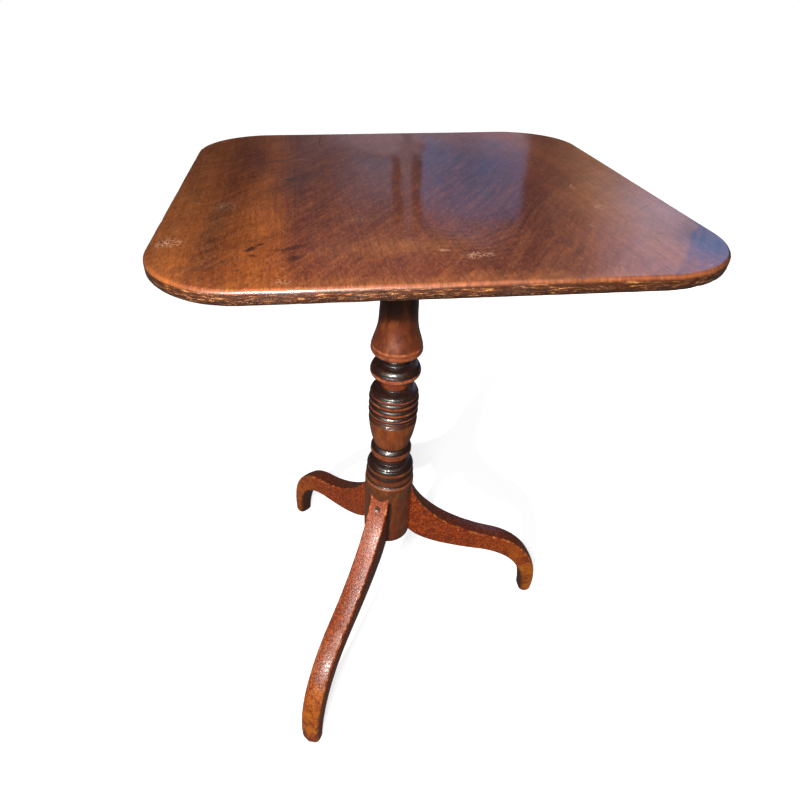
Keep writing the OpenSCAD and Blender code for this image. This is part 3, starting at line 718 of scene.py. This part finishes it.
# Dark marks in the wood, as place, half sizes, turn, bend, softness and strength
STAINS = [
    (-0.642, -0.690, 6.5, 4.2, 0.9, 0.0, 0.6, 0.9), (-0.613, -0.653, 8.5, 2.0, 1.0, 0.3, 0.8, 0.9),
    (-0.633, -0.738, 4.5, 3.5, 0.0, 0.0, 0.8, 0.75), (-0.508, -0.690, 23, 5.0, 0.41, 0.7, 0.95, 0.75),
    (-0.495, -0.770, 13, 4.5, 0.67, 0.7, 0.9, 0.75), (-0.675, -0.850, 6, 2.2, 0.8, 0.0, 0.8, 0.55),
    (-0.590, 0.425, 16, 2.6, 0.33, 0.0, 0.9, 0.6), (-0.531, 0.107, 6, 6, 0.0, 0.0, 0.9, 0.7),
    (-0.150, -0.570, 4.5, 1.5, 0.6, 0.0, 0.8, 0.5), (-0.295, -0.795, 6, 1.8, 0.7, 0.0, 0.8, 0.45),
    (-0.420, -0.300, 26, 4.5, 0.6, 0.5, 0.95, 0.35), (-0.400, -0.450, 26, 4.0, 0.5, 0.5, 0.95, 0.3),
]
CRACKS = [
    (-0.371, 0.84, 0.85, 38, -0.09, 0.0, 0.5, 1.0), (-0.219, 0.95, 1.2, 14, -0.15, 0.0, 0.5, 1.0),
    (0.957, -0.27, 0.7, 12, 0.1, 0.0, 0.6, 0.8), (0.890, -0.36, 16, 0.7, 0.55, 1.0, 0.6, 0.8),
]
# Pale scratches and rubbed spots
SCRATCHES = [
    (-0.480, 0.443, 23, 0.9, 0.0, -14.0, 0.8, 0.6), (-0.897, -0.190, 16, 0.6, -0.35, 0.0, 0.8, 0.5),
    (-0.065, -0.008, 5, 0.6, -0.4, 0.0, 0.7, 0.7), (0.115, 0.402, 5, 0.8, 0.1, 0.0, 0.7, 0.6),
    (-0.258, -0.335, 1.3, 1.0, 0.0, 0.0, 0.6, 0.8), (-0.539, -0.532, 1.2, 1.0, 0.0, 0.0, 0.6, 0.7),
    (0.690, -0.075, 0.9, 9, -0.5, 0.0, 0.7, 0.7), (0.580, -0.556, 0.7, 5, 0.2, 0.0, 0.7, 0.6),
    (0.815, -0.925, 5, 0.8, 0.3, 0.0, 0.7, 0.6), (-0.003, -0.742, 5.5, 0.9, 0.0, -2.2, 0.6, 0.8),
    (0.610, 0.38, 14, 0.5, -0.6, 0.0, 0.8, 0.3), (0.42, 0.62, 12, 0.5, 0.3, 0.0, 0.8, 0.25),
]
# Spots where the polish has crazed
CRAZED = [
    (-0.925, -0.615, 13, 13, 0.0, 0.0, 0.6, 0.9), (0.105, -0.790, 14, 7, 0.0, 0.0, 0.5, 1.0),
    (-0.003, -0.747, 5.5, 3.5, 0.0, 0.0, 0.5, 0.5), (0.705, -0.355, 12, 9, 0.5, 0.0, 0.6, 0.8),
    (0.690, -0.095, 5, 8, 0.0, 0.0, 0.5, 0.7), (-0.533, -0.945, 8, 5, 0.0, 0.0, 0.6, 0.6),
    (-0.780, -0.240, 20, 24, 0.0, 0.0, 0.9, 0.35), (-0.250, -0.420, 24, 14, 0.4, 0.0, 0.9, 0.3),
]


def top_polish():
    """Old polished mahogany with its grain along Y: broad stripes, cloudy figure, marks of use."""
    material, s, at = new_shader("top_polish")
    half = (TOP_W / 2 * MM, TOP_D / 2 * MM)
    plan = s.vector("MULTIPLY", s.vector("SUBTRACT", at, tuple(top_middle)), (1, 1, 0))

    def warped(size, depth):
        made = s.node("ShaderNodeTexNoise", {"Vector": s.stretched(at, (size, size * 2, size)), "Scale": 1.0,
                                             "Detail": 3.0})
        moved = s.vector("SUBTRACT", made.outputs["Color"], (0.5, 0.5, 0.5))
        return s.vector("ADD", plan, s.vector("MULTIPLY", moved, (depth, depth * 1.5, 0)))

    def marks(where, rows):
        return s.strongest([s.math("MULTIPLY", weight, s.spot(where, (x * half[0], y * half[1]),
                                                              (length * MM, width * MM), turn, bend, soft))
                            for x, y, length, width, turn, bend, soft, weight in rows])

    drift = warped(0.035, 0.022)
    across = s.vector("DOT_PRODUCT", drift, (0.5 / half[0], 0, 0))
    colour = s.ramp(s.math("ADD", across, 0.5), *((place, srgb(*tint)) for place, tint in BANDS))
    for x, y, length, width, turn, weight, tint in FIGURE:
        size = (1.25 * length * MM, 1.25 * width * MM)
        patch = s.spot(drift, (x * half[0], y * half[1]), size, turn, 0, 0.95)
        colour = s.mix(s.math("MULTIPLY", patch, weight), colour, tint)
    cloud = s.noise(s.stretched(at, (0.045, 0.12, 1), 0.4), 1.0, 3.0, 0.55, 0.6, 0.38, 0.68)
    colour = s.mix(s.math("MULTIPLY", cloud, 0.30), colour, DARK)
    ribbon = s.noise(s.stretched(at, (0.006, 0.07, 1), -0.55), 1.0, 3.0, 0.6, 1.2, 0.42, 0.64)
    colour = s.mix(s.math("MULTIPLY", ribbon, 0.28), colour, srgb(0.66, 0.38, 0.19))
    streak = s.noise(s.stretched(at, (0.011, 0.06, 1), -0.9), 1.0, 4.0, 0.6, 0.8, 0.46, 0.70)
    colour = s.mix(s.math("MULTIPLY", streak, 0.36), colour, DARK)
    grain = s.noise(s.stretched(at, (0.0035, 0.07, 1), 0.03), 1.0, 5.0, 0.68, 0.2, 0.36, 0.64)
    colour = s.mix(s.math("MULTIPLY", grain, 0.40), colour, srgb(0.22, 0.08, 0.045))
    pores = s.noise(s.stretched(at, (0.0011, 0.007, 1)), 1.0, 3.0, 0.6, 0.0, 0.50, 0.70)
    colour = s.mix(s.math("MULTIPLY", pores, 0.55), colour, srgb(0.15, 0.055, 0.03))
    fleck = s.noise(s.stretched(at, (0.0022, 0.005, 1)), 1.0, 3.0, 0.65, 0.0, 0.54, 0.72)
    colour = s.mix(s.math("MULTIPLY", fleck, 0.24), colour, srgb(0.74, 0.46, 0.27))
    flame = s.node("ShaderNodeTexWave", {"Vector": s.stretched(drift, (1, 1, 1), 0, (0.010, -0.055, 0)),
                                         "Scale": 42.0, "Distortion": 3.0, "Detail": 2.0},
                   wave_type="RINGS", rings_direction="Z").outputs["Fac"]
    flame = s.math("MULTIPLY", flame, s.spot(plan, (0.018, -0.150), (0.085, 0.065), 0, 0, 0.8))
    colour = s.mix(s.math("MULTIPLY", flame, 0.12), colour, srgb(0.66, 0.42, 0.25))

    near = warped(0.009, 0.008)
    colour = s.mix(marks(near, STAINS), colour, srgb(0.17, 0.065, 0.04))
    cracks = marks(near, CRACKS)
    colour = s.mix(cracks, colour, srgb(0.06, 0.025, 0.015))
    scratches = marks(warped(0.02, 0.005), SCRATCHES)
    crazed = marks(near, CRAZED)
    shaken = s.vector("ADD", at, s.vector("SUBTRACT", near, plan))
    lines = s.math("MULTIPLY", crazed, s.cells(shaken, 0.0042, 0.16))
    dull = s.math("MULTIPLY", crazed, s.cells(at, 0.0022, 0.35))
    colour = s.mix(s.math("MULTIPLY", dull, 0.4), colour, srgb(0.24, 0.09, 0.05))
    rubbed = s.math("MAXIMUM", s.math("MULTIPLY", lines, 0.75), scratches)
    colour = s.mix(s.math("MULTIPLY", rubbed, 0.8), colour, srgb(0.80, 0.60, 0.46))

    edge = s.attribute("edge")
    side = s.step(edge, 0.55, 0.95)
    z = s.node("ShaderNodeSeparateXYZ", {"Vector": at}).outputs[2]
    lower = s.step(z, (TOP_Z - 5) * MM, (TOP_Z - 10) * MM)
    ends = s.noise(s.stretched(at, (0.010, 0.010, 0.0014)), 1.0, 4.0, 0.65, 0.6, 0.34, 0.66)
    rim = s.ramp(ends, (0.0, srgb(0.10, 0.04, 0.02)), (0.45, srgb(0.24, 0.115, 0.05)),
                 (0.74, srgb(0.36, 0.20, 0.10)), (0.92, srgb(0.62, 0.43, 0.25)))
    # Dark clouds in the edge's colour, made stronger towards the right end; that rise to the right is painted
    # shade.
    edge_clouds = s.noise(s.stretched(at, (0.045, 0.045, 0.02)), 1.0, 3.0, 0.6, 0.0, 0.42, 0.66)
    to_right = s.step(s.node("ShaderNodeSeparateXYZ", {"Vector": plan}).outputs[0], 0.05, 0.22)
    edge_clouds = s.math("MULTIPLY", edge_clouds, s.math("MULTIPLY_ADD", to_right, 0.35, 0.65))
    rim = s.mix(edge_clouds, rim, srgb(0.20, 0.10, 0.06))
    specks = s.noise(s.stretched(at, (0.0020, 0.0020, 0.0012)), 1.0, 2.0, 0.6, 0.0, 0.46, 0.62)
    specks = s.math("MULTIPLY", specks, s.math("MULTIPLY_ADD", lower, 0.55, 0.4))
    rim = s.mix(specks, rim, srgb(0.12, 0.055, 0.03))
    colour = s.mix(side, colour, rim)
    # A pale line on the upper arris, broken up by noise: a painted highlight.
    arris = s.math("MULTIPLY", s.step(edge, 0.22, 0.40), s.step(edge, 0.45, 0.62, 1.0, 0.0))
    blotches = s.noise(s.stretched(at, (0.014, 0.014, 0.014)), 1.0, 4.0, 0.6, 0.0, 0.34, 0.62)
    colour = s.mix(s.math("MULTIPLY", s.math("MULTIPLY", arris, blotches), 0.35), colour, srgb(0.52, 0.30, 0.23))

    haze = s.noise(at, 26.0, 4.0, 0.6, 0.0, 0.3, 0.7)
    rough = s.step(haze, 0.0, 1.0, 0.34, 0.46, smooth=False)
    rough = s.math("ADD", rough, s.math("MULTIPLY", rubbed, 0.2))
    height = s.math("SUBTRACT", s.math("MULTIPLY", rubbed, 0.8), s.math("MULTIPLY", pores, 0.30))
    height = s.math("MULTIPLY_ADD", fleck, 0.2, height)
    height = s.math("SUBTRACT", height, s.math("MULTIPLY", cracks, 4.0))
    height = s.math("SUBTRACT", height, s.math("MULTIPLY", s.math("MULTIPLY", specks, side), 1.6))
    height = s.math("SUBTRACT", height, s.math("MULTIPLY", dull, 0.5))
    normal = s.bump(height, 0.00012)
    s.surface(colour, rough, normal, ior=1.5, coat=0.85, coat_rough=0.055)
    return material


def polished_turning():
    """The pillar's polish: orange-red wood, dark wax in the grooves and on the upward ledges, where a dark
    reflection is painted too; bead crowns paler from rubbing and a painted highlight; painted shade under the
    board and beside the legs.
    """
    material, s, at = new_shader("pillar_polish")
    local = s.vector("SUBTRACT", at, tuple(pillar_axis))
    z = s.node("ShaderNodeSeparateXYZ", {"Vector": local}).outputs[2]
    height = s.step(z, 0.20, 0.72, smooth=False)
    # From about 0.57 m upwards the colour falls to near-black: painted shade under the board.
    colour = s.ramp(height,
                    (0.00, srgb(0.36, 0.15, 0.04)), (0.17, srgb(0.38, 0.17, 0.06)),
                    (0.20, srgb(0.34, 0.20, 0.10)), (0.27, srgb(0.42, 0.20, 0.09)),
                    (0.33, srgb(0.40, 0.17, 0.08)), (0.38, srgb(0.50, 0.25, 0.10)),
                    (0.45, srgb(0.48, 0.23, 0.09)), (0.48, srgb(0.40, 0.17, 0.09)),
                    (0.57, srgb(0.47, 0.20, 0.10)), (0.64, srgb(0.40, 0.19, 0.10)),
                    (0.72, srgb(0.37, 0.165, 0.085)), (0.76, srgb(0.14, 0.055, 0.033)),
                    (1.0, srgb(0.11, 0.05, 0.03)))
    grain = s.noise(s.stretched(local, (0.004, 0.004, 0.05)), 1.0, 4.0, 0.6, 0.4, 0.34, 0.66)
    colour = s.mix(s.math("MULTIPLY", grain, 0.45), colour, srgb(0.25, 0.10, 0.05))
    flame = s.noise(s.stretched(local, (0.011, 0.011, 0.03)), 1.0, 3.0, 0.6, 1.0, 0.45, 0.7)
    colour = s.mix(s.math("MULTIPLY", flame, 0.45), colour, srgb(0.58, 0.30, 0.10))
    cloud = s.noise(s.stretched(local, (0.016, 0.016, 0.022)), 1.0, 4.0, 0.65, 0.8, 0.42, 0.66)
    colour = s.mix(s.math("MULTIPLY", cloud, 0.55), colour, srgb(0.24, 0.105, 0.05))
    pores = s.noise(s.stretched(local, (0.0009, 0.0009, 0.006)), 1.0, 2.0, 0.6, 0.0, 0.52, 0.72)
    colour = s.mix(s.math("MULTIPLY", pores, 0.5), colour, srgb(0.16, 0.06, 0.03))
    groove = s.attribute("groove")
    ledge = s.attribute("ledge")
    patchy = s.noise(local, 160.0, 4.0, 0.6, 0.0, 0.3, 0.6)
    wax = s.step(groove, 0.05, 0.55)
    # On the upward ledges the dark is partly wax and partly a painted dark reflection.
    upward = s.math("MULTIPLY", s.step(ledge, 0.04, 0.34), s.step(z, 0.322, 0.326))
    upward = s.math("MULTIPLY", upward, s.step(z, 0.526, 0.532, 1.0, 0.0))
    dark = s.math("MAXIMUM", wax, s.math("MULTIPLY", upward, 0.95))
    dark = s.math("MULTIPLY", dark, s.step(patchy, 0.0, 0.6, 0.8, 1.0))
    colour = s.mix(dark, colour, srgb(0.07, 0.042, 0.035))
    # Paler crowns of the beads: rubbed polish and a painted highlight.
    proud = s.math("MULTIPLY", s.step(groove, -0.12, -0.5), s.math("SUBTRACT", patchy, dark, clamp=True))
    colour = s.mix(s.math("MULTIPLY", proud, 0.55), colour, srgb(0.70, 0.40, 0.26))
    # A dark strip on the pillar beside each leg: the joint's gap, widened with painted shade.
    for name, angle in LEG_ANGLES.items():
        turned = s.node("ShaderNodeVectorRotate", {"Vector": local, "Angle": -math.radians(angle)},
                        rotation_type="Z_AXIS").outputs[0]
        flat = s.node("ShaderNodeSeparateXYZ", {"Vector": turned}).outputs
        beside = s.math("SUBTRACT", s.math("ABSOLUTE", flat[1]), LEG_T / 2 * MM + 0.001)
        joint_shade = s.step(s.math("ABSOLUTE", beside), 0.0, 0.0045, 1.0, 0.0)
        joint_shade = s.math("MULTIPLY", joint_shade, s.step(flat[0], 0.02, 0.024))
        joint_shade = s.math("MULTIPLY", joint_shade, s.step(flat[2], 0.292, 0.298, 1.0, 0.0))
        colour = s.mix(joint_shade, colour, srgb(0.07, 0.035, 0.02))
    rough = s.step(patchy, 0.0, 1.0, 0.17, 0.27, smooth=False)
    rough = s.math("ADD", rough, s.math("MULTIPLY", wax, 0.10))
    dents = s.noise(local, 420.0, 3.0, 0.6, 0.0, 0.35, 0.7)
    relief = s.math("SUBTRACT", s.math("MULTIPLY", dents, 0.4), s.math("MULTIPLY", pores, 0.6))
    s.surface(colour, s.math("ADD", rough, 0.12), s.bump(relief, 0.00015), ior=1.5, coat=0.7, coat_rough=0.11)
    return material


def leg_polish(name):
    """Red polish worn through in a fine mottle; painted shade darkens the undersides and the side legs' upper
    face, and a painted highlight lightens the front leg's upper face near the pillar.
    """
    material, s, at = new_shader(f"leg_polish_{name}")
    turn = math.radians(LEG_ANGLES[name])
    flat = s.stretched(at, (1, 1, 1), turn, tuple(pillar_axis))
    down = s.attribute("down")
    upper = s.attribute("upper")
    colour = s.ramp(down,
                    (0.0, srgb(0.43, 0.16, 0.06)), (0.35, srgb(0.46, 0.18, 0.06)),
                    (0.7, srgb(0.50, 0.22, 0.07)), (0.93, srgb(0.54, 0.27, 0.08)),
                    (1.0, srgb(0.30, 0.12, 0.06)))
    slope = s.node("ShaderNodeVectorRotate", {"Vector": flat, "Angle": -0.75},
                   rotation_type="Y_AXIS").outputs[0]
    figure = s.noise(s.stretched(slope, (0.03, 0.006, 0.006)), 1.0, 3.0, 0.6, 0.6, 0.38, 0.66)
    colour = s.mix(s.math("MULTIPLY", figure, 0.35), colour, srgb(0.31, 0.11, 0.05))
    mottle = s.noise(flat, 330.0, 3.0, 0.65, 0.4, 0.48, 0.60)
    colour = s.mix(s.math("MULTIPLY", mottle, 0.6), colour, srgb(0.70, 0.32, 0.11))
    pits = s.noise(flat, 440.0, 2.0, 0.6, 0.2, 0.50, 0.62)
    colour = s.mix(s.math("MULTIPLY", pits, 0.75), colour, srgb(0.20, 0.065, 0.035))
    honey = s.math("MULTIPLY", s.noise(flat, 45.0, 4.0, 0.65, 0.3, 0.46, 0.58), s.step(down, 0.45, 0.9))
    colour = s.mix(s.math("MULTIPLY", honey, 0.6), colour, srgb(0.66, 0.38, 0.09))
    blotches = s.math("MULTIPLY", s.noise(flat, 60.0, 4.0, 0.65, 0.6, 0.52, 0.62), s.step(down, 0.78, 1.0))
    colour = s.mix(s.math("MULTIPLY", blotches, 0.8), colour, srgb(0.26, 0.10, 0.07))
    stain = s.noise(flat, 55.0, 3.0, 0.6, 0.3, 0.52, 0.72)
    colour = s.mix(s.math("MULTIPLY", stain, 0.45), colour, srgb(0.22, 0.09, 0.05))
    # Painted shade on the leg's underside, stronger towards the foot.
    underside_shade = s.math("MULTIPLY", s.attribute("under"), s.step(down, 0.2, 0.9, 0.5, 0.9))
    colour = s.mix(underside_shade, colour, srgb(0.17, 0.10, 0.06))
    if name == "front":
        # Painted highlight on the front leg's upper face near the pillar.
        painted_highlight = s.math("MULTIPLY", s.step(upper, 0.6, 1.0), s.step(down, 0.18, 0.45, 1.0, 0.0))
        colour = s.mix(s.math("MULTIPLY", painted_highlight, 0.25), colour, srgb(0.66, 0.38, 0.28))
    else:
        # Painted shade: the side legs' upper face is darkened towards plum.
        colour = s.mix(s.math("MULTIPLY", s.step(upper, 0.55, 1.0), 0.55), colour, srgb(0.20, 0.10, 0.09))
    arris = s.math("MULTIPLY", s.attribute("arris"), s.noise(flat, 110.0, 3.0, 0.7, 0.0, 0.50, 0.62))
    colour = s.mix(s.math("MULTIPLY", arris, 0.7), colour, srgb(0.80, 0.47, 0.27))
    if name == "front":
        hole = Vector(tuple(curve_at(BACK_HIGH, SCREW_T)))
        for reach, drop, weight in ((5.2, 0, 0.95), (3.6, 8.5, 0.6)):
            spot = (hole.x * MM + drop * 0.57 * MM, 0, hole.y * MM - drop * 0.82 * MM)
            gap = s.vector("LENGTH", s.stretched(flat, (reach * MM, reach * MM, reach * MM), 0, spot))
            rag = s.math("ADD", gap, s.noise(flat, 500.0, 2.0, 0.5, 0.0, 0.3, 0.7))
            dirt = s.math("MULTIPLY", s.step(rag, 0.8, 1.5, 1.0, 0.0), weight)
            colour = s.mix(dirt, colour, srgb(0.07, 0.05, 0.05))
    foot = s.step(down, 0.985, 1.0)
    rough = s.step(mottle, 0.0, 1.0, 0.27, 0.38, smooth=False)
    rough = s.math("ADD", rough, s.math("MULTIPLY", foot, 0.2))
    relief = s.math("SUBTRACT", s.math("MULTIPLY", mottle, 0.5), pits)
    s.surface(colour, rough, s.bump(relief, 0.00011), ior=1.5)
    return material


def dry_wood(name, base, dark, along_y=True):
    """Unpolished wood from the underside, with saw marks and dust."""
    material, s, at = new_shader(name)
    size = (0.003, 0.06, 0.003) if along_y else (0.06, 0.003, 0.003)
    grain = s.noise(s.stretched(at, size), 1.0, 4.0, 0.6, 0.3, 0.32, 0.68)
    colour = s.mix(grain, srgb(*base), srgb(*dark))
    pores = s.noise(s.stretched(at, tuple(0.25 * v for v in size)), 1.0, 2.0, 0.6, 0.0, 0.52, 0.7)
    colour = s.mix(s.math("MULTIPLY", pores, 0.6), colour, tuple(0.4 * c for c in srgb(*dark)))
    dust = s.noise(at, 30.0, 4.0, 0.6, 0.0, 0.4, 0.75)
    colour = s.mix(s.math("MULTIPLY", dust, 0.35), colour, srgb(0.50, 0.42, 0.36))
    saw = s.node("ShaderNodeTexWave", {"Vector": at, "Scale": 90.0, "Distortion": 2.0, "Detail": 2.0},
                 bands_direction="X" if along_y else "Y").outputs["Fac"]
    relief = s.math("SUBTRACT", s.math("MULTIPLY", saw, 0.3), pores)
    rough = s.step(grain, 0.0, 1.0, 0.62, 0.8, smooth=False)
    s.surface(colour, rough, s.bump(relief, 0.0002))
    return material


def old_metal(name, base, tarnish, rust, rough_low, rough_high):
    material, s, at = new_shader(name)
    cloud = s.noise(at, 120.0, 4.0, 0.6, 0.4, 0.3, 0.7)
    colour = s.mix(s.math("MULTIPLY", cloud, 0.7), srgb(*base), srgb(*tarnish))
    spots = s.noise(at, 600.0, 3.0, 0.6, 0.0, 0.52, 0.7)
    colour = s.mix(s.math("MULTIPLY", spots, 0.6), colour, srgb(*rust))
    rough = s.step(cloud, 0.0, 1.0, rough_low, rough_high, smooth=False)
    relief = s.math("ADD", s.math("MULTIPLY", cloud, 0.3), spots)
    s.surface(colour, rough, s.bump(relief, 0.00008), metal=0.9)
    return material


def dress_nodes():
    """Materials and eased edges for the CAD nodes that stay."""
    brass = old_metal("old_brass", (0.72, 0.57, 0.30), (0.42, 0.31, 0.15), (0.20, 0.14, 0.08), 0.28, 0.45)
    iron = old_metal("old_iron", (0.25, 0.24, 0.23), (0.14, 0.13, 0.12), (0.27, 0.14, 0.08), 0.5, 0.7)
    steel = old_metal("screw_steel", (0.42, 0.40, 0.37), (0.25, 0.22, 0.19), (0.24, 0.13, 0.08), 0.35, 0.55)
    wire = old_metal("spring_wire", (0.60, 0.60, 0.60), (0.36, 0.35, 0.34), (0.28, 0.18, 0.12), 0.25, 0.4)
    bearer = dry_wood("bearer_wood", (0.36, 0.21, 0.13), (0.24, 0.13, 0.08), along_y=False)
    block = dry_wood("block_wood", (0.34, 0.19, 0.12), (0.22, 0.12, 0.08), along_y=True)
    wedge = dry_wood("wedge_wood", (0.62, 0.46, 0.29), (0.48, 0.33, 0.19))
    looks = {"bearer_back": bearer, "bearer_front": bearer, "tilt_block": block, "tenon_wedges": wedge,
             "bearer_screws_back": steel, "bearer_screws_front": steel, "catch_spring": wire,
             "leg_nail": iron, "brace_plate": iron, "brace_nails": iron}
    eased = {"bearer_back": 0.9, "bearer_front": 0.9, "tilt_block": 0.9, "brace_plate": 0.4,
             "catch_plate": 0.25, "catch_case": 0.4, "strike_plate": 0.2}
    for name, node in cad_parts.items():
        if name in ("table_top", "pillar") or name.startswith("leg_") and name != "leg_nail":
            continue
        node.data.materials.clear()
        node.data.materials.append(looks.get(name, brass))
        if name in eased:
            weld = node.modifiers.new("weld", "WELD")
            weld.merge_threshold = 0.00001
            bevel = node.modifiers.new("ease", "BEVEL")
            bevel.width = eased[name] * MM
            bevel.segments = 2
            bevel.limit_method = "ANGLE"
            bevel.angle_limit = math.radians(40)


make_studio()
underside = dry_wood("underside_wood", (0.40, 0.24, 0.15), (0.27, 0.15, 0.10), along_y=True)
make_board([top_polish(), underside])
make_pillar([polished_turning()])
for leg in LEG_ANGLES:
    make_leg(leg, [leg_polish(leg)])
dress_nodes()
